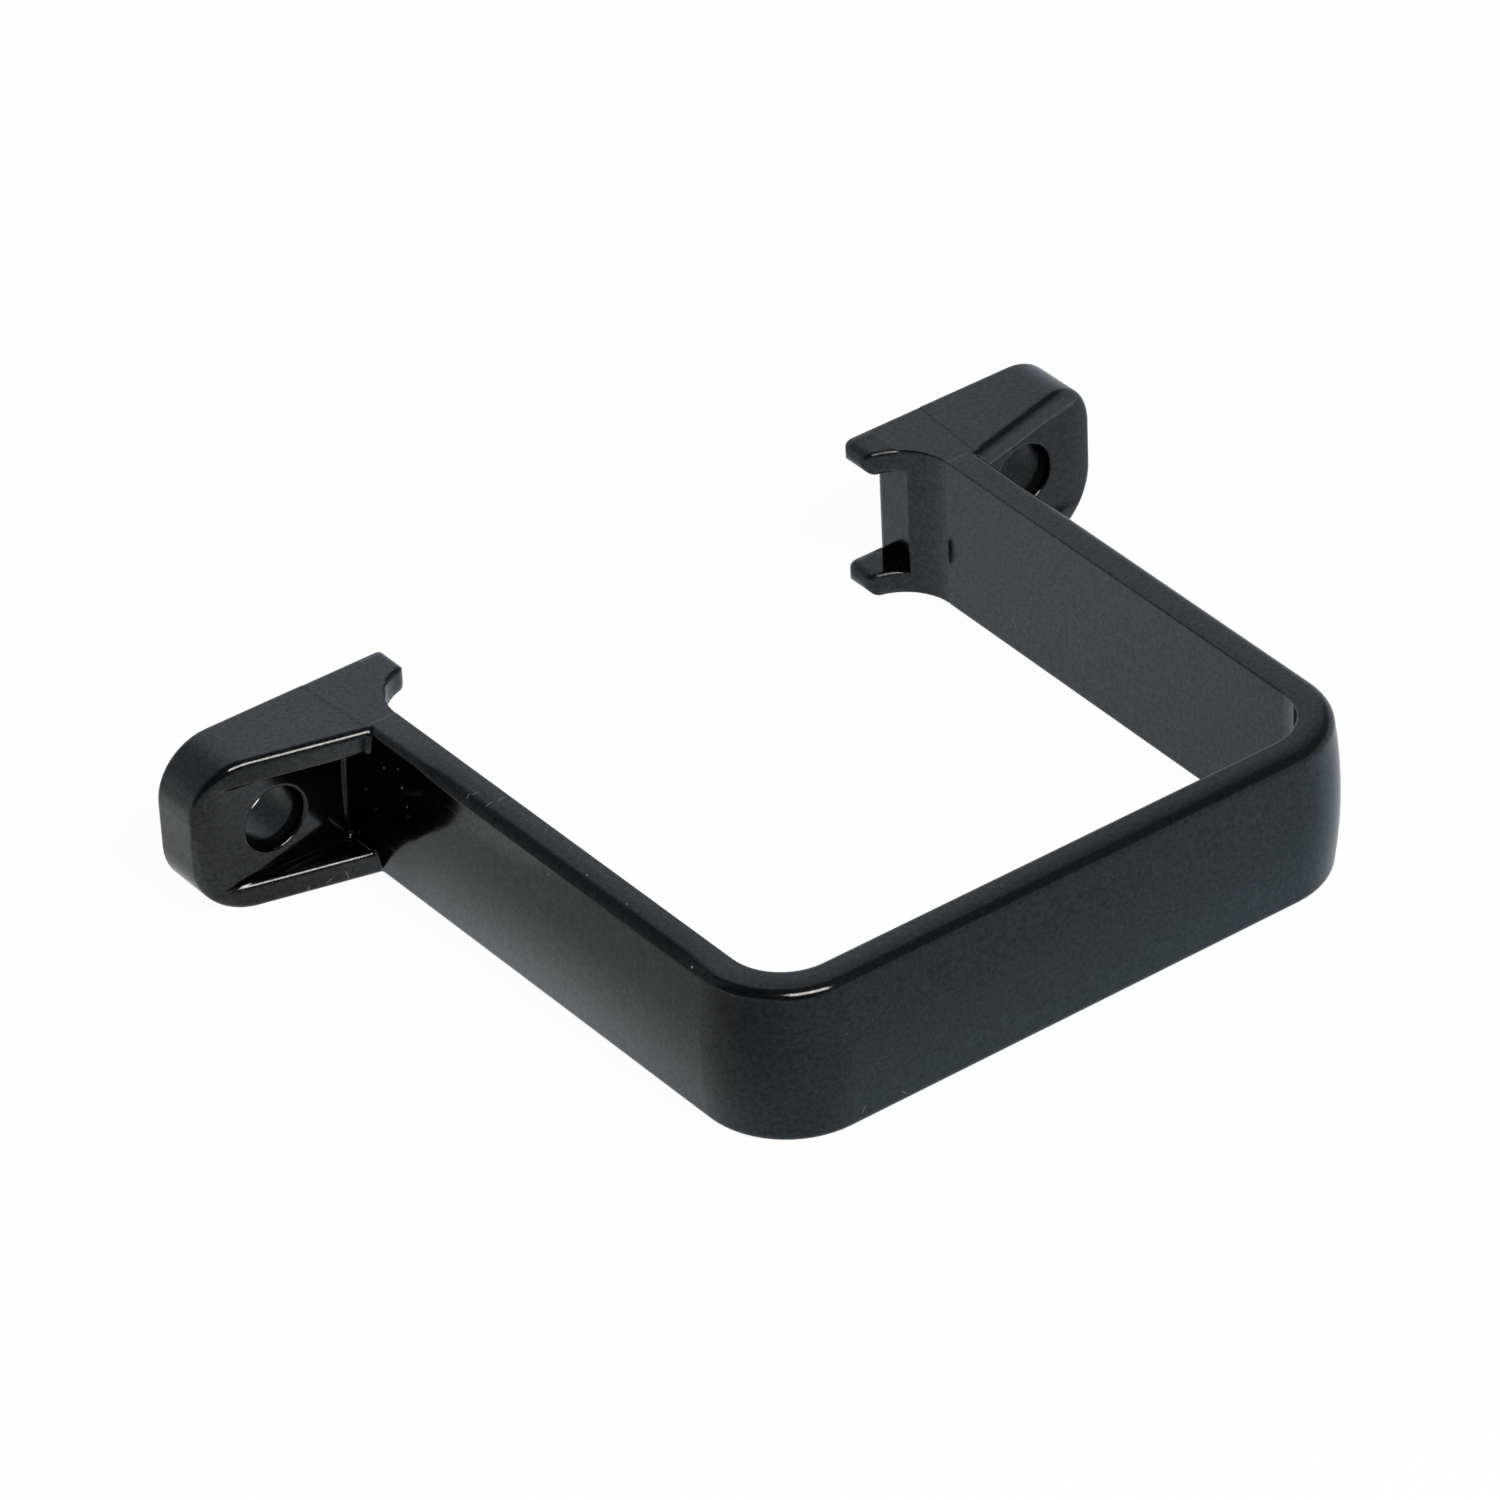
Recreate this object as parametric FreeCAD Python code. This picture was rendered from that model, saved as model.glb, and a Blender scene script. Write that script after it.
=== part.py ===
import FreeCAD, Part
import math
import os

V = FreeCAD.Vector

# Downpipe clip: a U strap that holds a square downpipe against a wall.
# Frame: X along the wall, +Y into the wall, +Z up along the pipe.
# Origin: on the wall face, midway between the two screw holes.

# Pipe space, the rounded square that the pipe fills
inside_width = 66.4
inside_depth = 65.0
pipe_corner_r = 6.0
wall_standoff = 3.7

# Strap, flat inside and crowned outside, its arms splayed a little towards the wall
strap_height = 17.2
strap_thickness = 4.2
crown_r = 55.0
strap_edge_r = 1.0
arm_splay = math.radians(0.7)

# Screw lugs
hole_spacing = 92.8
lug_margin = 9.1
lug_corner_r = 6.0
lug_end_thickness = 5.8
lug_root_thickness = 10.6
lug_floor_thickness = 6.4
lug_edge_r = 0.8
rib_thickness = 2.8
rib_edge_r = 0.6
floor_fillet_r = 0.5
floor_blend_r = 10.0
floor_corner_r = 0.8

# Screw hole with a wider mouth in the recess
hole_mouth_r = 3.45
hole_mouth_depth = 1.7
hole_r = 3.15
hole_edge_r = 0.3

# Inward lips behind the pipe
lip_reach = 5.5
lip_thickness = 2.5
lip_nose_r = 1.1
lip_corner_r = 1.5
lip_back_r = 0.5
slot_reach = 1.7
slot_corner_r = 1.2
insert_step = 0.05
insert_flare = 0.8

# Sizes that follow from the ones above
half_w = inside_width / 2
half_h = strap_height / 2
seat_back = -wall_standoff
front_in = seat_back - inside_depth
crown_drop = crown_r - math.sqrt(crown_r ** 2 - half_h ** 2)
edge_thickness = strap_thickness - crown_drop
hole_x = hole_spacing / 2
lug_end = hole_x + lug_margin
corner_x = half_w - pipe_corner_r
corner_y = front_in + pipe_corner_r
pocket_h = half_h - rib_thickness
lip_h = half_h - insert_step
slot_h = half_h - lip_thickness

# Arm lines: the inside face starts where the front corner ends and leans out by the splay
arm_dir = V(math.sin(arm_splay), math.cos(arm_splay), 0)
arm_out_dir = V(math.cos(arm_splay), -math.sin(arm_splay), 0)
corner_axis = V(corner_x, corner_y, 0)
arm_start = corner_axis + arm_out_dir * pipe_corner_r


def inside_x(y):
    return arm_start.x + (y - arm_start.y) * math.tan(arm_splay)


arc_y = seat_back - pipe_corner_r
arc_x = inside_x(arc_y) - pipe_corner_r / math.cos(arm_splay)
arc_end = arc_y - pipe_corner_r * math.sin(arm_splay)
arm_in = inside_x(arc_y)
arm_out = arm_in + edge_thickness
lip_tip = arm_in - lip_reach
slot_end = arm_in - slot_reach


def face_of(edges):
    return Part.Face(Part.Wire(edges))


def seg(a, b):
    return Part.LineSegment(a, b).toShape()


def arc(a, m, b):
    return Part.Arc(a, m, b).toShape()


def box(lo, hi):
    return Part.makeBox(hi[0] - lo[0], hi[1] - lo[1], hi[2] - lo[2], V(*lo))


def mirrored(shape):
    return shape.mirror(V(0, 0, 0), V(1, 0, 0))


# Strap section in the plane of offset t (outwards from the inside face) and height z
crown_centre = strap_thickness - crown_r
edge_z = half_h - strap_edge_r
edge_reach = crown_r - strap_edge_r
edge_t = crown_centre + math.sqrt(edge_reach ** 2 - edge_z ** 2)
tilt = math.atan2(edge_z, edge_t - crown_centre)
touch_t = crown_centre + crown_r * math.cos(tilt)
touch_z = crown_r * math.sin(tilt)
half_turn = (tilt + math.pi / 2) / 2
mid_t = edge_t + strap_edge_r * math.cos(half_turn)
mid_z = edge_z + strap_edge_r * math.sin(half_turn)


def strap_section(place):
    top_in = place(0, half_h)
    top_out = place(edge_t, half_h)
    top_mid = place(mid_t, mid_z)
    top_touch = place(touch_t, touch_z)
    belly = place(strap_thickness, 0)
    low_touch = place(touch_t, -touch_z)
    low_mid = place(mid_t, -mid_z)
    low_out = place(edge_t, -half_h)
    low_in = place(0, -half_h)
    return face_of([
        seg(low_in, top_in),
        seg(top_in, top_out),
        arc(top_out, top_mid, top_touch),
        arc(top_touch, belly, low_touch),
        arc(low_touch, low_mid, low_out),
        seg(low_out, low_in),
    ])


# Strap: two arms, two corners turned about the pipe's corner axes, one front
arm_section = strap_section(lambda t, z: arm_start + arm_out_dir * t + V(0, 0, z))
arm = arm_section.extrude(arm_dir * (2 * wall_standoff - front_in))
behind_wall = box((0, 0, -strap_height), (2 * lug_end, inside_depth, strap_height))
arm = arm.cut(behind_wall)
corner = arm_section.revolve(corner_axis, V(0, 0, 1), math.degrees(arm_splay) - 90)
front_section = strap_section(lambda t, z: V(-corner_x, front_in - t, z))
front = front_section.extrude(V(2 * corner_x, 0, 0))

# Screw lug: rounded plate whose front slopes up to the arm
tan_slope = (lug_root_thickness - lug_end_thickness) / (lug_end - arm_out)
slope = math.atan(tan_slope)


def lug_front(x):
    return -lug_end_thickness - (lug_end - x) * tan_slope


lug_in = arm_in + edge_thickness / 2
bend_x = lug_end - lug_corner_r
bend_z = half_h - lug_corner_r
bend_d = lug_corner_r * math.sqrt(0.5)
plate = face_of([
    seg(V(lug_in, 0, -half_h), V(bend_x, 0, -half_h)),
    arc(V(bend_x, 0, -half_h), V(bend_x + bend_d, 0, -bend_z - bend_d), V(lug_end, 0, -bend_z)),
    seg(V(lug_end, 0, -bend_z), V(lug_end, 0, bend_z)),
    arc(V(lug_end, 0, bend_z), V(bend_x + bend_d, 0, bend_z + bend_d), V(bend_x, 0, half_h)),
    seg(V(bend_x, 0, half_h), V(lug_in, 0, half_h)),
    seg(V(lug_in, 0, half_h), V(lug_in, 0, -half_h)),
]).extrude(V(0, -2 * lug_root_thickness, 0))
past = lug_end + lug_margin
wedge = face_of([
    seg(V(lug_in, 0, -half_h), V(past, 0, -half_h)),
    seg(V(past, 0, -half_h), V(past, lug_front(past), -half_h)),
    seg(V(past, lug_front(past), -half_h), V(lug_in, lug_front(lug_in), -half_h)),
    seg(V(lug_in, lug_front(lug_in), -half_h), V(lug_in, 0, -half_h)),
]).extrude(V(0, 0, strap_height))
lug = plate.common(wedge)


def on_lug_front(edge):
    first = edge.FirstParameter
    span = edge.LastParameter - first
    spots = [edge.valueAt(first + span * share) for share in (0.1, 0.5, 0.9)]
    flush = all(abs(p.y - lug_front(p.x)) < 1e-4 for p in spots)
    return flush and spots[1].x > lug_in + 1e-3


lug = lug.makeFillet(lug_edge_r, [e for e in lug.Edges if on_lug_front(e)])

# Pocket between the ribs: flat floor that bends into the slope, mouth edges rounded along the slope
along = V(math.cos(slope), math.sin(slope), 0)
out = V(math.sin(slope), -math.cos(slope), 0)
start = V(lug_in, lug_front(lug_in), 0)
deep = lug_root_thickness


def pocket_point(z, rise):
    return start + out * rise + V(0, 0, z)


rib_round = rib_edge_r * (1 - math.sqrt(0.5))
mouth_h = pocket_h + rib_edge_r
up_wall = pocket_point(pocket_h, -rib_edge_r)
up_mid = pocket_point(pocket_h + rib_round, -rib_round)
up_mouth = pocket_point(mouth_h, 0)
low_mouth = pocket_point(-mouth_h, 0)
low_mid = pocket_point(-pocket_h - rib_round, -rib_round)
low_wall = pocket_point(-pocket_h, -rib_edge_r)
pocket = face_of([
    seg(pocket_point(-pocket_h, -deep), pocket_point(pocket_h, -deep)),
    seg(pocket_point(pocket_h, -deep), up_wall),
    arc(up_wall, up_mid, up_mouth),
    seg(up_mouth, pocket_point(mouth_h, deep)),
    seg(pocket_point(mouth_h, deep), pocket_point(-mouth_h, deep)),
    seg(pocket_point(-mouth_h, deep), low_mouth),
    arc(low_mouth, low_mid, low_wall),
    seg(low_wall, pocket_point(-pocket_h, -deep)),
]).extrude(along * (2 * lug_end - 2 * lug_in))
floor_y = -lug_floor_thickness
break_x = lug_end - (lug_floor_thickness - lug_end_thickness) / tan_slope
blend = floor_blend_r * math.tan(slope / 2)
blend_in = V(break_x - blend, floor_y, -half_h)
blend_out = V(break_x, floor_y, -half_h) + along * blend
blend_mid_x = blend_in.x + floor_blend_r * math.sin(slope / 2)
blend_mid = V(blend_mid_x, floor_y + floor_blend_r * (1 - math.cos(slope / 2)), -half_h)
high_y = -4 * lug_root_thickness
above_floor = face_of([
    seg(V(lug_in, floor_y, -half_h), blend_in),
    arc(blend_in, blend_mid, blend_out),
    seg(blend_out, V(blend_out.x, high_y, -half_h)),
    seg(V(blend_out.x, high_y, -half_h), V(lug_in, high_y, -half_h)),
    seg(V(lug_in, high_y, -half_h), V(lug_in, floor_y, -half_h)),
]).extrude(V(0, 0, strap_height))
pocket = pocket.common(above_floor)


def floor_corner(edge):
    c = edge.BoundBox
    at_wall = abs(abs(c.ZMin) - pocket_h) < 1e-4 and c.ZLength < 1e-4
    return at_wall and abs(c.YMin - floor_y) < 1e-4


pocket = pocket.makeFillet(floor_corner_r, [e for e in pocket.Edges if floor_corner(e)])
lug = lug.cut(pocket)

# Lip plan: fills from the arm to the lip tips, hollowed by the pipe space
lip_plan = box((lip_tip, arc_end, -strap_height), (arm_out, 0, strap_height))
pipe_foot = V(arc_x, arc_y, -2 * strap_height)
pipe_corner = Part.makeCylinder(pipe_corner_r, 4 * strap_height, pipe_foot, V(0, 0, 1))
lip_plan = lip_plan.cut(pipe_corner)


def tip_upright(edge):
    c = edge.BoundBox
    return c.XMax < lip_tip + 1e-3 and c.ZLength > strap_height


for tip_edge_r, behind in ((lip_corner_r, False), (lip_back_r, True)):
    uprights = [e for e in lip_plan.Edges if tip_upright(e)]
    rounded = [e for e in uprights if (e.BoundBox.YMax > -1e-3) == behind]
    lip_plan = lip_plan.makeFillet(tip_edge_r, rounded)

# Slot that parts the upper lip from the lower one, its end rounded at the wall side
sc = slot_corner_r
sk = sc * (1 - math.sqrt(0.5))
far = lip_tip - lip_reach
slot = face_of([
    seg(V(slot_end, arc_end, -slot_h), V(slot_end, -sc, -slot_h)),
    arc(V(slot_end, -sc, -slot_h), V(slot_end + sk, -sk, -slot_h), V(slot_end + sc, 0, -slot_h)),
    seg(V(slot_end + sc, 0, -slot_h), V(slot_end + sc, sc, -slot_h)),
    seg(V(slot_end + sc, sc, -slot_h), V(far, sc, -slot_h)),
    seg(V(far, sc, -slot_h), V(far, arc_end, -slot_h)),
    seg(V(far, arc_end, -slot_h), V(slot_end, arc_end, -slot_h)),
]).extrude(V(0, 0, 2 * slot_h))


# Lip block: two bars with round noses, trimmed to the lip plan
def nose_edge(edge):
    c = edge.BoundBox
    return abs(c.XMax - lip_tip) < 1e-3 and c.ZLength < 1e-3


bars = box((lip_tip, arc_end, -lip_h), (arm_out, 0, lip_h)).cut(slot)
bars = bars.makeFillet(lip_nose_r, [e for e in bars.Edges if nose_edge(e)])
block = bars.common(lip_plan)

# Screw hole: a tapered mouth, then straight through to the wall
mouth_end = floor_y + hole_mouth_depth
mouth = Part.makeCone(hole_mouth_r, hole_r, hole_mouth_depth, V(hole_x, floor_y, 0), V(0, 1, 0))
through = Part.makeCylinder(hole_r, lug_root_thickness, V(hole_x, mouth_end, 0), V(0, 1, 0))
hole = mouth.fuse(through)

# Shallow step left by the insert that forms the lips, on the top and bottom faces
step = face_of([
    seg(V(lip_tip, arc_end, lip_h), V(arm_out, arc_end, lip_h)),
    seg(V(arm_out, arc_end, lip_h), V(arm_out + insert_flare, 0, lip_h)),
    seg(V(arm_out + insert_flare, 0, lip_h), V(lip_tip, 0, lip_h)),
    seg(V(lip_tip, 0, lip_h), V(lip_tip, arc_end, lip_h)),
]).extrude(V(0, 0, strap_height))
low_step = step.mirror(V(0, 0, 0), V(0, 0, 1))

side = arm.fuse([corner, lug])
for tool in (hole, step, low_step):
    side = side.cut(tool)
side = side.fuse(block).removeSplitter()


def floor_arm_edge(edge):
    c = edge.BoundBox
    flat = abs(c.YMin - floor_y) < 1e-4 and abs(c.YMax - floor_y) < 1e-4
    near = c.XMax < arm_out + crown_drop + 0.2 and c.XMin > arm_out - 0.2
    return flat and near and c.ZLength > pocket_h


def mouth_edge(edge):
    c = edge.BoundBox
    flat = abs(c.YMin - floor_y) < 1e-4 and abs(c.YMax - floor_y) < 1e-4
    round_mouth = c.XMin > hole_x - hole_mouth_r - 0.1 and c.XMax < hole_x + hole_mouth_r + 0.1
    return flat and round_mouth and abs(c.ZLength - 2 * hole_mouth_r) < 0.1


side = side.makeFillet(floor_fillet_r, [e for e in side.Edges if floor_arm_edge(e)])
side = side.makeFillet(hole_edge_r, [e for e in side.Edges if mouth_edge(e)])

clip = side.fuse([front, mirrored(side)]).removeSplitter()
if clip.ShapeType == "Compound" and len(clip.Solids) == 1:
    clip = clip.Solids[0]
clip = Part.Solid(clip.Shells[0]) if len(clip.Shells) == 1 else clip
b = clip.BoundBox
print("size", round(b.XLength, 2), round(b.YLength, 2), round(b.ZLength, 2))
print("valid", clip.isValid(), "solids", len(clip.Solids), "volume", round(clip.Volume, 1))

os.makedirs("parts", exist_ok=True)
clip.exportStep("parts/clip.step")
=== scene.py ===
import math

import bpy
from mathutils import Matrix, Vector


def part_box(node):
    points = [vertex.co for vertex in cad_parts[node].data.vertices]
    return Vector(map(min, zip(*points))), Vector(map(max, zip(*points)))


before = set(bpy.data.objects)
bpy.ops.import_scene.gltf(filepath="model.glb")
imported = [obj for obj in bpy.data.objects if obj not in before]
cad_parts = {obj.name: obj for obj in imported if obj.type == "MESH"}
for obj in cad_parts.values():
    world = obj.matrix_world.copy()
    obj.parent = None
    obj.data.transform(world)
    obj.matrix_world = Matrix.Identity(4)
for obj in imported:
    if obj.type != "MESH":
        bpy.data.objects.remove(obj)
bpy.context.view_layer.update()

scene = bpy.context.scene
scene.view_settings.view_transform = "Standard"
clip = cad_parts["clip"]
ground_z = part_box("clip")[0].z
mm = 0.001

# Sizes of the clip that its material follows
half_height = -ground_z
flat_face_z = 8.3 * mm
rib_z = 5.7 * mm
recess_foot_z = (-5.79 * mm, -5.0 * mm, -4.8 * mm)
lug_x = 38.2 * mm
lug_side_x = 39.0 * mm
lug_front_y = -10.0 * mm
lug_rim_x = (-53.0 * mm, -51.0 * mm)
insert_slope = 0.08
hole_x = 46.4 * mm
hole_edge = (3.25 * mm, 3.4 * mm)
lip_x = 31.5 * mm
lip_y = -8.0 * mm
splay_slope = -0.0122
splay_y = -62.0 * mm
corner_x = 27.18 * mm
corner_y = -62.9 * mm
corner_radius = 9.7 * mm

# Colours
plastic_black = (0.0008, 0.0009, 0.0011, 1)
dust_grey = (0.15, 0.15, 0.14, 1)
floor_grey = (0.8, 0.8, 0.8, 1)
floor_blue = (0.75, 0.89, 1.0, 1)
floor_cool = (0.82, 0.89, 0.98, 1)
floor_neutral = (0.86, 0.89, 0.90, 1)
studio_tint = (0.83, 0.91, 1.0, 1)

# Sockets of a Mix node, by its kind of data: first input, second input, output
mix_sockets = {"VECTOR": (4, 5, 1), "RGBA": (6, 7, 2)}


# Short ways to add and join the nodes of one tree
class Graph:
    def __init__(self, tree):
        self.tree = tree
        tree.nodes.clear()

    def add(self, kind, **settings):
        node = self.tree.nodes.new(kind)
        for key, value in settings.items():
            setattr(node, key, value)
        return node

    def feed(self, socket, value):
        if isinstance(value, bpy.types.NodeSocket):
            self.tree.links.new(value, socket)
        else:
            socket.default_value = value

    def feed_all(self, sockets, values):
        for socket, value in zip(sockets, values):
            self.feed(socket, value)

    def calc(self, operation, *values, clamp=False):
        node = self.add("ShaderNodeMath", operation=operation, use_clamp=clamp)
        self.feed_all(node.inputs, values)
        return node.outputs[0]

    def times(self, *factors):
        product = factors[0]
        for factor in factors[1:]:
            product = self.calc("MULTIPLY", product, factor)
        return product

    def plus(self, base, mask, amount, clamp=False):
        # The base, raised by this amount where the mask is 1
        return self.calc("MULTIPLY_ADD", mask, amount, base, clamp=clamp)

    def scaled(self, value, mask, share):
        # The value, raised by this share of itself where the mask is 1
        return self.times(value, self.plus(1.0, mask, share))

    def above(self, value, limit):
        return self.calc("GREATER_THAN", value, limit)

    def below(self, value, limit):
        return self.calc("LESS_THAN", value, limit)

    def ramp(self, value, low, high, out_low=0.0, out_high=1.0, curve="SMOOTHSTEP"):
        node = self.add("ShaderNodeMapRange", interpolation_type=curve)
        self.feed_all(node.inputs, (value, low, high, out_low, out_high))
        return node.outputs["Result"]

    def fade(self, value, low, high, amount=1.0):
        return self.ramp(value, low, high, amount, 0.0)

    def vector(self, operation, *values):
        node = self.add("ShaderNodeVectorMath", operation=operation)
        self.feed_all(node.inputs, values)
        return node.outputs

    def length(self, vector):
        return self.vector("LENGTH", vector)["Value"]

    def split(self, vector):
        node = self.add("ShaderNodeSeparateXYZ")
        self.feed(node.inputs["Vector"], vector)
        return node.outputs

    def combine(self, **parts):
        node = self.add("ShaderNodeCombineXYZ")
        for axis, value in parts.items():
            self.feed(node.inputs[axis], value)
        return node.outputs["Vector"]

    def mix(self, kind, factor, first, second):
        first_in, second_in, result = mix_sockets[kind]
        node = self.add("ShaderNodeMix", data_type=kind)
        self.feed(node.inputs["Factor"], factor)
        self.feed(node.inputs[first_in], first)
        self.feed(node.inputs[second_in], second)
        return node.outputs[result]

    def mix_shaders(self, factor, first, second):
        node = self.add("ShaderNodeMixShader")
        self.feed_all(node.inputs, (factor, first, second))
        return node.outputs["Shader"]

    def openness(self, distance):
        # How open the surface is to its surroundings within this distance
        node = self.add("ShaderNodeAmbientOcclusion", samples=8, only_local=True)
        node.inputs["Distance"].default_value = distance
        return node.outputs["AO"]


def new_material(name):
    mat = bpy.data.materials.new(name)
    mat.use_nodes = True
    return mat, Graph(mat.node_tree)


# Patterns
def mapped(graph, coords, place=(0, 0, 0), turn=(0, 0, 0), scale=(1, 1, 1), kind="POINT"):
    node = graph.add("ShaderNodeMapping", vector_type=kind)
    angles = [math.radians(angle) for angle in turn]
    graph.feed_all(node.inputs, (coords, place, angles, scale))
    return node.outputs["Vector"]


def noise(graph, coords, size, detail=2.0, roughness=0.5):
    node = graph.add("ShaderNodeTexNoise")
    node.inputs["Scale"].default_value = 1 / size
    node.inputs["Detail"].default_value = detail
    node.inputs["Roughness"].default_value = roughness
    graph.feed(node.inputs["Vector"], coords)
    return node.outputs["Fac"]


def hairlines(graph, coords, turn, size, stretch, width):
    # Thin contour lines of a drawn-out noise, broken up by a second noise
    drawn_out = mapped(graph, coords, turn=turn, scale=(1, stretch, 1))
    lined = noise(graph, drawn_out, size, detail=0.0)
    off = graph.calc("ABSOLUTE", graph.calc("SUBTRACT", lined, 0.5))
    cover = noise(graph, mapped(graph, coords, turn=turn), 5 * size, detail=1.0)
    return graph.times(graph.fade(off, 0.0, width), graph.ramp(cover, 0.5, 0.62))


def specks(graph, coords, size, share, reach):
    # Round dots in a random share of the cells, each of its own size
    node = graph.add("ShaderNodeTexVoronoi")
    node.inputs["Scale"].default_value = 1 / size
    graph.feed(node.inputs["Vector"], coords)
    pick = graph.add("ShaderNodeSeparateColor")
    graph.feed(pick.inputs["Color"], node.outputs["Color"])
    chosen = graph.below(pick.outputs["Red"], share)
    wide = graph.plus(0.3 * reach, pick.outputs["Green"], 0.7 * reach)
    dot = graph.below(node.outputs["Distance"], wide)
    return graph.times(dot, chosen)


def fleck(graph, coords, centre, turn, reach):
    # One grain or fibre: a small ellipsoid about a point on the surface, with a soft edge
    place = [c * mm for c in centre]
    scale = [r * mm for r in reach]
    around = mapped(graph, coords, place, turn, scale, kind="TEXTURE")
    return graph.fade(graph.length(around), 0.7, 1.2)


# Grains on the left arm, beside its lug and along its upper edge: centre and radius in mm
grains = [
    ((-37.73, -12.94, 5.53), 0.12),
    ((-37.59, -15.19, 6.55), 0.10),
    ((-37.76, -15.90, 4.78), 0.14),
    ((-38.02, -9.87, 1.53), 0.09),
    ((-38.02, -11.38, -0.03), 0.10),
    ((-37.88, -16.71, 3.03), 0.11),
    ((-37.91, -16.82, 2.05), 0.08),
    ((-38.36, -6.81, -5.70), 0.10),
    ((-36.59, -61.03, 8.30), 0.15),
    ((-35.52, -49.52, 8.60), 0.09),
    ((-37.33, -27.75, 7.36), 0.13),
    ((-37.85, -22.28, -1.98), 0.10),
    ((-37.23, -39.20, 7.06), 0.11),
    ((-35.63, -43.36, 8.60), 0.10),
]

# Fibres on the lower edges and the right arm, scuffs on the left arm's top: centre, turn and reach
fibres = [
    ((-44.79, -8.59, -8.00), (0, 25, 0), (0.08, 0.3, 0.5)),
    ((-42.60, -9.20, -7.60), (0, 60, 0), (0.07, 0.3, 0.45)),
    ((-40.80, -9.69, -7.60), (0, -15, 0), (0.08, 0.3, 0.6)),
    ((-37.55, -15.20, -6.60), (35, 0, 0), (0.3, 0.8, 0.07)),
    ((-37.60, -14.20, -5.60), (-20, 0, 0), (0.3, 0.6, 0.06)),
    ((33.72, -20.50, -5.56), (60, 0, 0), (0.3, 0.9, 0.07)),
    ((-25.99, -72.50, -6.80), (0, 30, 0), (0.07, 0.3, 0.5)),
    ((-21.20, -72.40, -7.20), (0, -40, 0), (0.07, 0.3, 0.45)),
    ((-36.62, -25.59, 8.55), (0, 0, 25), (0.45, 0.06, 0.3)),
    ((-35.80, -25.75, 8.60), (0, 0, -10), (0.5, 0.06, 0.3)),
    ((-35.91, -28.02, 8.60), (0, 0, 15), (0.6, 0.06, 0.3)),
    ((-34.56, -28.10, 8.60), (0, 0, 5), (0.5, 0.06, 0.3)),
]


# Where a point of the clip's surface lies
class Where:
    def __init__(self, graph):
        geometry = graph.add("ShaderNodeNewGeometry").outputs
        self.normal = geometry["Normal"]
        self.facing = graph.split(geometry["True Normal"])
        self.coords = graph.add("ShaderNodeTexCoord").outputs["Object"]
        self.spot = graph.split(self.coords)
        self.aside = graph.calc("ABSOLUTE", self.spot["X"])
        self.off_middle = graph.calc("ABSOLUTE", self.spot["Z"])
        self.left = graph.below(self.spot["X"], 0.0)
        self.right = graph.above(self.spot["X"], 0.0)
        self.lug = graph.above(self.aside, lug_x)
        self.lug_back = graph.above(self.spot["Y"], lug_front_y)
        self.lip = graph.times(graph.below(self.aside, lip_x), graph.above(self.spot["Y"], lip_y))

        # Distance from the line that the mould's insert left on the lug
        line_x = graph.plus(lug_x, self.spot["Y"], insert_slope)
        self.from_insert = graph.calc("ABSOLUTE", graph.calc("SUBTRACT", self.aside, line_x))

        # Inside the screw hole
        hole_side = graph.calc("SUBTRACT", self.aside, hole_x)
        self.off_axis = graph.length(graph.combine(X=hole_side, Z=self.spot["Z"]))
        self.in_hole = graph.fade(self.off_axis, *hole_edge)

        # Distance in from the strap's outer face, round its corners too
        splayed = graph.plus(self.aside, graph.calc("SUBTRACT", self.spot["Y"], splay_y), splay_slope)
        past_x = graph.calc("MAXIMUM", graph.calc("SUBTRACT", splayed, corner_x), 0.0)
        past_y = graph.calc("MAXIMUM", graph.calc("SUBTRACT", corner_y, self.spot["Y"]), 0.0)
        reach_out = graph.length(graph.combine(X=past_x, Y=past_y))
        self.inward = graph.calc("SUBTRACT", corner_radius, reach_out)


def along_left_arm(graph, where, front, back):
    # The left arm, from a soft start at its front to a soft end at its back
    starts = graph.ramp(where.spot["Y"], *front)
    ends = graph.fade(where.spot["Y"], *back)
    return graph.times(where.left, starts, ends)


# Fine scratches, dust, grains and fibres
def scratches(graph, where):
    first = hairlines(graph, where.coords, turn=(0, 0, 20), size=2.2 * mm, stretch=0.05, width=0.012)
    second = hairlines(graph, where.coords, turn=(15, 10, -50), size=3.0 * mm, stretch=0.08, width=0.01)
    return graph.calc("MAXIMUM", first, second)


def dust_and_lint(graph, where):
    settles = graph.ramp(where.facing["Z"], -0.2, 0.8, out_low=0.4)
    large = specks(graph, where.coords, size=2.0 * mm, share=0.14, reach=0.05)
    turned = mapped(graph, where.coords, turn=(20, 30, 40))
    small = specks(graph, turned, size=0.9 * mm, share=0.12, reach=0.06)
    dust = graph.times(graph.calc("MAXIMUM", large, small), settles)
    for centre, radius in grains:
        grain = fleck(graph, where.coords, centre, (0, 0, 0), (radius, radius, radius))
        dust = graph.calc("MAXIMUM", dust, grain)
    lint = 0.0
    for centre, turn, reach in fibres:
        lint = graph.calc("MAXIMUM", lint, fleck(graph, where.coords, centre, turn, reach))
    return graph.plus(dust, lint, amount=0.6, clamp=True)


def roughness(graph, where, scratch, dust):
    haze = noise(graph, where.coords, size=16 * mm, detail=4.0, roughness=0.6)
    rough = graph.ramp(haze, 0.3, 0.75, out_low=0.08, out_high=0.16)
    rough = graph.plus(rough, scratch, amount=0.12)
    rough = graph.plus(rough, dust, amount=0.6, clamp=True)
    return graph.plus(rough, where.in_hole, amount=0.2, clamp=True)


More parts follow.
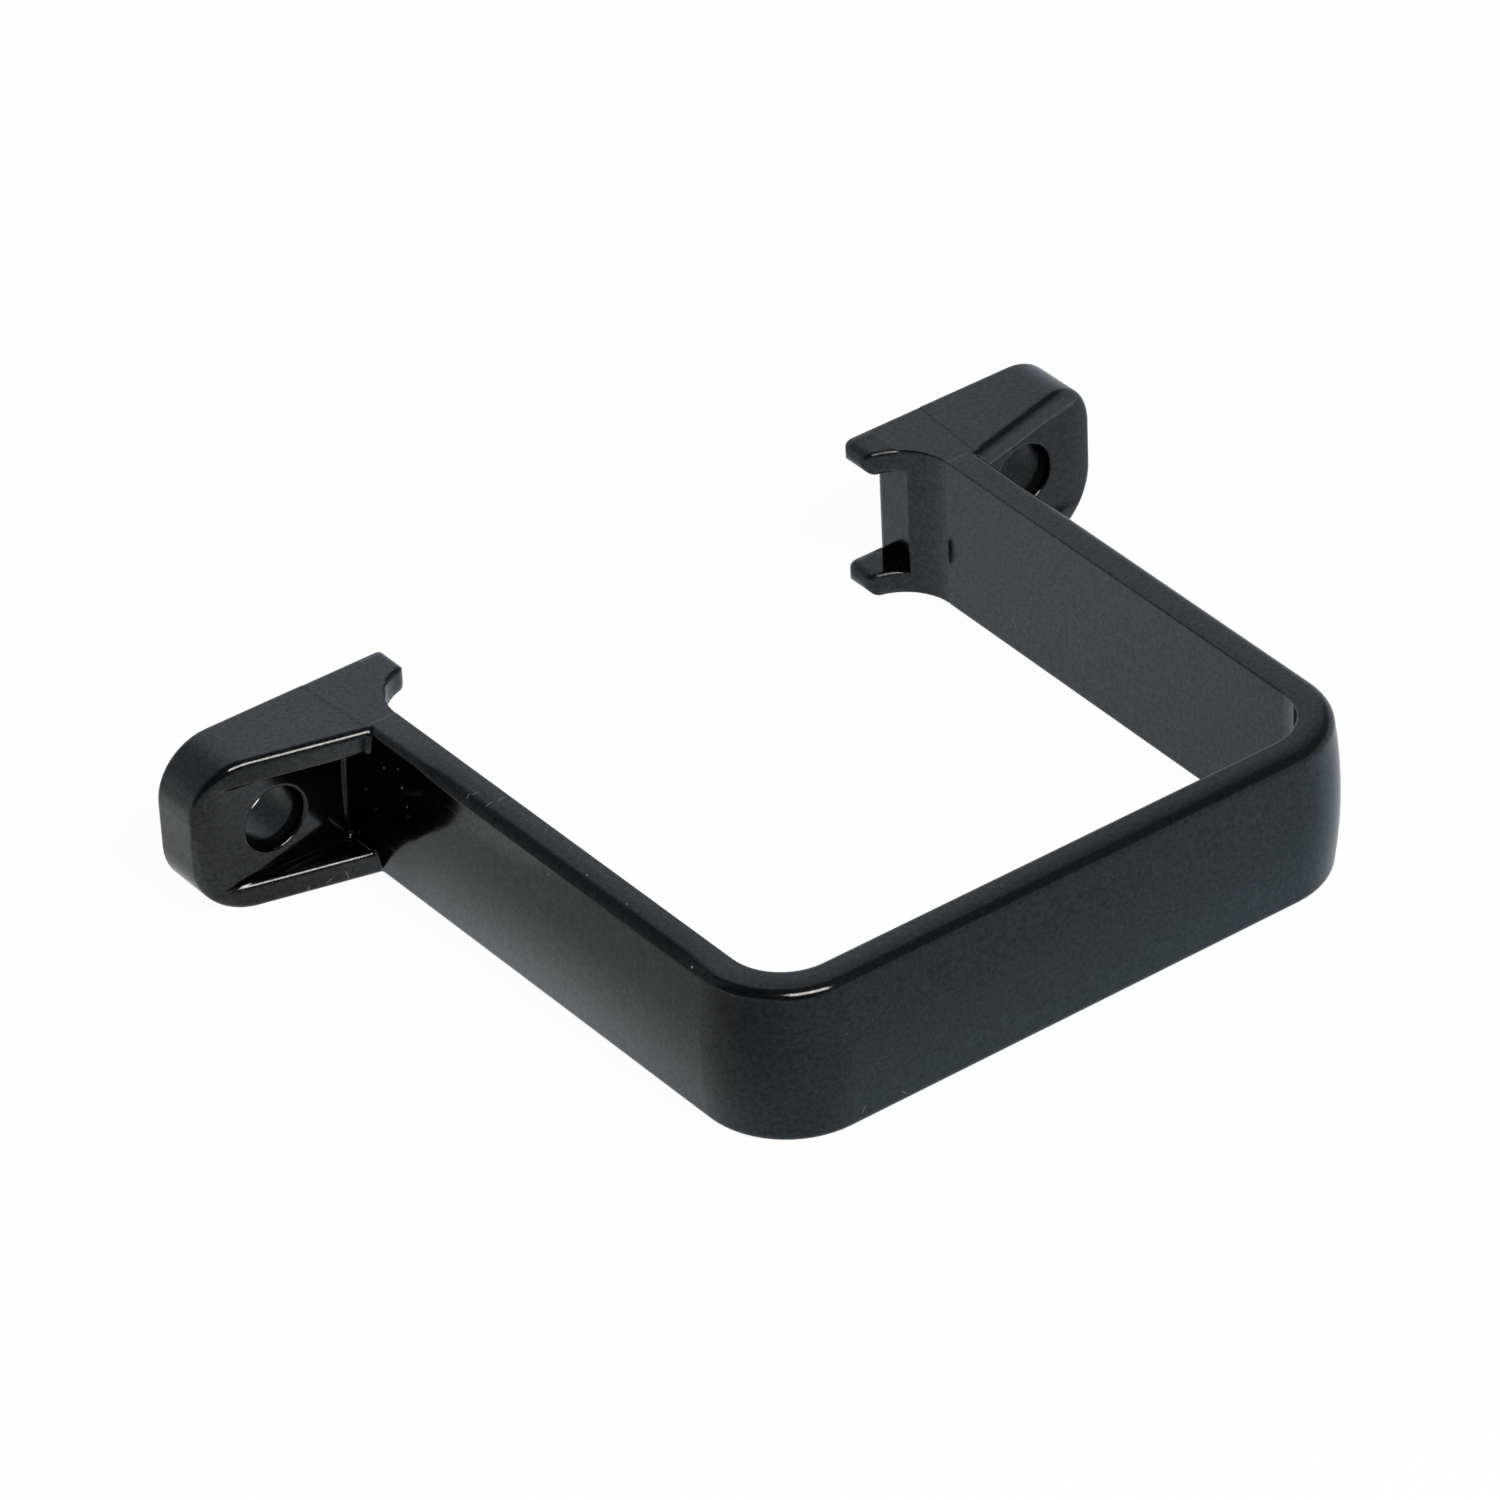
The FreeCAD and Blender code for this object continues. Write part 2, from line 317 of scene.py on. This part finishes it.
# Gloss: lowered deep in the recesses, where little light gets in, as painted shade
def painted_recess_shade(graph, where):
    recess_shade = graph.times(where.lug, graph.fade(graph.openness(4 * mm), 0.4, 0.75, amount=0.95))

    # Painted shade: gloss lowered on the hollow curve along the foot of the left recess, which takes out
    # its highlight
    foot_z, curve_z, curve_end_z = recess_foot_z
    above_foot = graph.above(where.spot["Z"], foot_z)
    low = graph.times(graph.fade(where.spot["Z"], curve_z, curve_end_z), above_foot)
    curved = graph.times(graph.above(where.facing["Z"], 0.1), graph.below(where.facing["Z"], 0.995))
    foot = graph.times(low, curved, where.lug, where.left)
    recess_shade = graph.calc("MAXIMUM", recess_shade, graph.times(foot, 0.95))

    # Painted shade: gloss lowered in the corner between the recess's floor and the arm
    between_ribs = graph.below(where.off_middle, rib_z)
    side = graph.times(graph.below(where.aside, lug_side_x), where.lug, between_ribs)
    return graph.calc("MAXIMUM", recess_shade, graph.times(side, 0.45))


def insert_line(graph, where):
    # The insert's witness line on the left lug's flat faces
    line = graph.fade(where.from_insert, 0.05 * mm, 0.35 * mm)
    flat_face = graph.above(where.off_middle, flat_face_z)
    return graph.times(line, flat_face, where.lug_back, where.left)


def painted_top_shade(graph, where):
    # Painted shade: gloss lowered on the left arm's top face towards its outer edge, and on the top of the
    # right lip
    arm = along_left_arm(graph, where, front=(-66 * mm, -56 * mm), back=(-22 * mm, -12 * mm))
    edge = graph.times(arm, graph.fade(where.inward, 1.8 * mm, 3.4 * mm, amount=0.34))
    top_shade = graph.plus(edge, graph.times(where.lip, where.right), amount=0.25)
    return graph.times(top_shade, graph.ramp(where.facing["Z"], 0.5, 0.9))


def gloss(graph, where):
    mottle = noise(graph, where.coords, size=0.45 * mm, detail=3.0, roughness=0.7)
    # Painted sheen: gloss raised on the front faces of the left lug's outer end
    left_rim = graph.fade(where.spot["X"], *lug_rim_x)
    left_rim = graph.times(left_rim, graph.fade(where.facing["Y"], -0.9, -0.4))
    level = graph.ramp(mottle, 0.3, 0.7, out_low=0.37, out_high=0.63)
    # Painted shade in the recesses
    level = graph.scaled(level, painted_recess_shade(graph, where), share=-1.0)
    level = graph.scaled(level, insert_line(graph, where), share=-0.5)
    # Painted shade: gloss lowered inside the screw hole
    level = graph.scaled(level, where.in_hole, share=-0.25)
    # Painted sheen on the left lug's rim
    level = graph.scaled(level, left_rim, share=0.2)
    # Painted shade on the left arm's top and the right lip's top
    return graph.scaled(level, painted_top_shade(graph, where), share=-1.0)


# Relief that is too fine for the solid
def surface_height(graph, where, scratch, dust):
    wave = graph.times(noise(graph, where.coords, size=13 * mm, detail=1.0), 0.014 * mm)
    grain = noise(graph, where.coords, size=0.22 * mm)
    height = graph.plus(wave, grain, amount=0.0002 * mm)

    # The strap's top and bottom faces fall away a little towards the outer edge
    fall = graph.ramp(where.inward, 3.1 * mm, 0.0, curve="LINEAR")
    fall = graph.calc("POWER", fall, 2.0)
    fall = graph.times(fall, graph.fade(where.spot["Y"], -18 * mm, -10 * mm))
    height = graph.plus(height, fall, amount=-0.2 * mm)

    # The left arm's outer top edge is rounder
    arm = along_left_arm(graph, where, front=(-66 * mm, -58 * mm), back=(-24 * mm, -17 * mm))
    depth = graph.calc("SUBTRACT", half_height, where.spot["Z"])
    edge = graph.times(graph.fade(where.inward, 0.0, 1.5 * mm), graph.fade(depth, 0.0, 0.8 * mm))
    height = graph.plus(height, graph.times(edge, arm), amount=-0.3 * mm)

    height = graph.plus(height, scratch, amount=-0.0005 * mm)
    return graph.plus(height, dust, amount=0.01 * mm)


def shading_normal(graph, where, scratch, dust):
    # Outer edges are shaded rounder, most at the lips, and inner corners stay as they are
    soft_edge = graph.add("ShaderNodeBevel", samples=8)
    graph.feed(soft_edge.inputs["Radius"], graph.plus(0.4 * mm, where.lip, amount=0.5 * mm))
    in_the_open = graph.ramp(graph.openness(1.5 * mm), 0.8, 0.97)
    eased = graph.mix("VECTOR", in_the_open, where.normal, soft_edge.outputs["Normal"])

    # The insert's line on top of the right lug is fainter than its step
    fainter = graph.fade(where.from_insert, 0.5 * mm, 0.8 * mm, amount=0.65)
    on_top = graph.above(where.spot["Z"], flat_face_z)
    fainter = graph.times(fainter, where.lug_back, on_top, where.right)
    levelled = graph.mix("VECTOR", fainter, eased, (0, 0, 1))

    # The screw hole's wall is shaded as a true cylinder
    across = graph.calc("SUBTRACT", hole_x, where.aside)
    across = graph.times(across, graph.calc("SIGN", where.spot["X"]))
    to_axis = graph.combine(X=across, Z=graph.times(where.spot["Z"], -1.0))
    level_wall = graph.below(graph.calc("ABSOLUTE", where.facing["Y"]), 0.1)
    wall = graph.times(level_wall, graph.below(where.off_axis, hole_edge[0]))
    rounded = graph.mix("VECTOR", wall, levelled, graph.vector("NORMALIZE", to_axis)["Vector"])

    bump = graph.add("ShaderNodeBump")
    bump.inputs["Strength"].default_value = 1.0
    bump.inputs["Distance"].default_value = 1.0
    graph.feed(bump.inputs["Height"], surface_height(graph, where, scratch, dust))
    graph.feed(bump.inputs["Normal"], rounded)
    return bump.outputs["Normal"]


# Glossy black plastic
def black_plastic():
    mat, graph = new_material("black_plastic")
    output = graph.add("ShaderNodeOutputMaterial")
    bsdf = graph.add("ShaderNodeBsdfPrincipled")
    bsdf.inputs["IOR"].default_value = 1.5
    where = Where(graph)
    scratch = scratches(graph, where)
    dust = dust_and_lint(graph, where)
    graph.feed(bsdf.inputs["Base Color"], graph.mix("RGBA", dust, plastic_black, dust_grey))
    graph.feed(bsdf.inputs["Roughness"], roughness(graph, where, scratch, dust))
    graph.feed(bsdf.inputs["Specular IOR Level"], gloss(graph, where))
    graph.feed(bsdf.inputs["Normal"], shading_normal(graph, where, scratch, dust))
    graph.feed(output.inputs["Surface"], bsdf.outputs["BSDF"])
    return mat


clip.data.materials.clear()
clip.data.materials.append(black_plastic())

# Reflections of reflections see the room, the card and the floor much darker
first_reflection = 1.5
deep_level = 0.1


def first_bounce(graph, path):
    deep = graph.above(path["Glossy Depth"], first_reflection)
    return graph.plus(1.0, deep, amount=deep_level - 1.0)


# Floor: pale, nearly white to the camera, and it keeps the shadow
floor_width = 8.0
floor_level = 0.655
camera_white = 0.96

# Painted pools of light and shade on the floor's glow, seen only in reflections: centre and reach in mm,
# change of level
pools = [
    ((-68, -72), (45, 45), -0.27),
    ((-36, -35), (14, 42), 0.37),
    ((-50, -28), (12, 30), -0.06),
    ((-62, -9), (11, 11), 0.45),
    ((-42, -6), (9, 9), -0.12),
    ((-80, -30), (35, 50), -0.14),
    ((-75, 15), (35, 35), 0.35),
    ((12, -15), (60, 60), 0.17),
    ((55, -85), (60, 60), 0.1),
]


def mirrored_floor(graph, path):
    # What the plastic reflects of the floor: a glow with painted pools of light and shade
    position = graph.add("ShaderNodeNewGeometry").outputs["Position"]
    level = floor_level
    for (x, y), (reach_x, reach_y), change in pools:
        offset = graph.vector("SUBTRACT", position, (x * mm, y * mm, ground_z))["Vector"]
        share = graph.vector("DIVIDE", offset, (reach_x * mm, reach_y * mm, 1.0))["Vector"]
        level = graph.calc("ADD", level, graph.fade(graph.length(share), 0.0, 1.0, change))
    ground = graph.split(position)
    beyond = graph.ramp(ground["Y"], -75 * mm, -60 * mm)
    beyond_left = graph.times(graph.fade(ground["X"], -42 * mm, -34 * mm), beyond)
    tint = graph.mix("RGBA", beyond, floor_blue, floor_cool)
    tint = graph.mix("RGBA", beyond_left, tint, floor_neutral)
    glow = graph.add("ShaderNodeEmission")
    graph.feed(glow.inputs["Color"], tint)
    graph.feed(glow.inputs["Strength"], graph.times(level, first_bounce(graph, path)))
    return glow.outputs["Emission"]


def floor_white():
    mat, graph = new_material("floor_white")
    output = graph.add("ShaderNodeOutputMaterial")
    path = graph.add("ShaderNodeLightPath").outputs
    diffuse = graph.add("ShaderNodeBsdfDiffuse")
    diffuse.inputs["Color"].default_value = floor_grey
    white = graph.add("ShaderNodeEmission")
    to_camera = graph.times(path["Is Camera Ray"], camera_white)
    seen = graph.mix_shaders(to_camera, diffuse.outputs["BSDF"], white.outputs["Emission"])
    shiny = graph.calc("MAXIMUM", path["Is Glossy Ray"], path["Is Transmission Ray"])
    surface = graph.mix_shaders(shiny, seen, mirrored_floor(graph, path))
    graph.feed(output.inputs["Surface"], surface)
    return mat


bpy.ops.mesh.primitive_plane_add(size=floor_width, location=(0, 0, ground_z))
floor = bpy.context.object
floor.name = "floor"
floor.data.materials.append(floor_white())

# White card behind: dimmer at the right and high up, its upper corners fading out
card_y = 0.30
card_width = 2.4


def card_white():
    mat, graph = new_material("card_white")
    output = graph.add("ShaderNodeOutputMaterial")
    path = graph.add("ShaderNodeLightPath").outputs
    spot = graph.split(graph.add("ShaderNodeNewGeometry").outputs["Position"])
    bright = graph.ramp(spot["X"], 0.17, 0.235, 0.92, 0.78)
    bright = graph.times(bright, graph.ramp(spot["X"], 0.265, 0.31, 1.0, 0.82))
    bright = graph.times(bright, graph.ramp(spot["Z"], 0.34, 0.42, 1.0, 0.7))
    glow = graph.add("ShaderNodeEmission")
    glow.inputs["Color"].default_value = studio_tint
    graph.feed(glow.inputs["Strength"], graph.times(bright, first_bounce(graph, path)))
    left_edge = graph.fade(graph.calc("SUBTRACT", spot["Z"], spot["X"]), 0.22, 0.62)
    right_edge = graph.fade(graph.calc("ADD", spot["Z"], spot["X"]), 0.72, 0.9)
    inside = graph.times(left_edge, right_edge)
    clear = graph.add("ShaderNodeBsdfTransparent")
    surface = graph.mix_shaders(inside, clear.outputs["BSDF"], glow.outputs["Emission"])
    graph.feed(output.inputs["Surface"], surface)
    return mat


upright = (math.pi / 2, 0, 0)
bpy.ops.mesh.primitive_plane_add(size=card_width, location=(0, card_y, ground_z), rotation=upright)
card = bpy.context.object
card.name = "card"
card.visible_camera = False
card.visible_shadow = False
card.data.materials.append(card_white())


# World: a dim room, lighter low down on the right and on the left, and plain and pale to the camera
def studio_room():
    world = bpy.data.worlds.new("studio")
    world.use_nodes = True
    graph = Graph(world.node_tree)
    output = graph.add("ShaderNodeOutputWorld")
    path = graph.add("ShaderNodeLightPath").outputs
    way = graph.split(graph.add("ShaderNodeTexCoord").outputs["Generated"])
    low_right = graph.times(graph.ramp(way["Z"], 0.05, 0.55, 0.62, 0.1), graph.ramp(way["X"], -0.25, 0.35))
    left_wall = graph.times(graph.fade(way["X"], -0.4, -0.05, 0.2), graph.ramp(way["Y"], 0.2, 0.5))
    left_front = graph.times(graph.fade(way["X"], -0.75, -0.4, 0.5), graph.fade(way["Y"], -0.4, 0.0))
    low_corner = graph.times(left_front, graph.fade(way["Z"], 0.0, 0.3))
    level = 0.1
    for part in (low_right, left_wall, low_corner):
        level = graph.calc("ADD", level, part)
    room = graph.add("ShaderNodeBackground")
    room.inputs["Color"].default_value = studio_tint
    graph.feed(room.inputs["Strength"], graph.times(level, first_bounce(graph, path)))
    pale = graph.add("ShaderNodeBackground").outputs["Background"]
    surface = graph.mix_shaders(path["Is Camera Ray"], room.outputs["Background"], pale)
    graph.feed(output.inputs["Surface"], surface)
    return world


scene.world = studio_room()

# Softbox above the camera
middle = Vector((0, -0.036, 0))
softbox_way = Vector((-0.095, -0.6, 0.78)).normalized()
lamp_data = bpy.data.lights.new("softbox", "AREA")
lamp_data.shape = "RECTANGLE"
lamp_data.size = 0.6
lamp_data.size_y = 0.34
lamp_data.energy = 10.5
lamp_data.color = (1.0, 0.98, 0.94)
lamp = bpy.data.objects.new("softbox", lamp_data)
scene.collection.objects.link(lamp)
lamp.location = middle + softbox_way
lamp.rotation_euler = (-softbox_way).to_track_quat("-Z", "Y").to_euler()
lamp.visible_camera = False

# Camera: a long lens, turned, raised and rolled about the clip and moved sideways to frame it
azimuth = math.radians(-35.63)
elevation = math.radians(34.966)
roll = math.radians(-2.808)
distance = 0.8448
aim_right = 0.012821
aim_up = -0.013474
image_width = 1500.0
image_pixels_per_metre = 10022.0
sensor_width = 36.0
run = math.cos(elevation)
back = Vector((math.sin(azimuth) * run, -math.cos(azimuth) * run, math.sin(elevation)))
level_right = Vector((math.cos(azimuth), math.sin(azimuth), 0))
level_up = back.cross(level_right)
right = math.cos(roll) * level_right + math.sin(roll) * level_up
up = -math.sin(roll) * level_right + math.cos(roll) * level_up
place = distance * back + aim_right * right + aim_up * up
camera_data = bpy.data.cameras.new("camera")
camera_data.sensor_width = sensor_width
camera_data.lens = image_pixels_per_metre * distance * sensor_width / image_width
camera_data.clip_start = 0.05
camera_data.clip_end = 20.0
camera = bpy.data.objects.new("camera", camera_data)
scene.collection.objects.link(camera)
camera.matrix_world = Matrix((
    (right.x, up.x, back.x, place.x),
    (right.y, up.y, back.y, place.y),
    (right.z, up.z, back.z, place.z),
    (0, 0, 0, 1),
))
scene.camera = camera
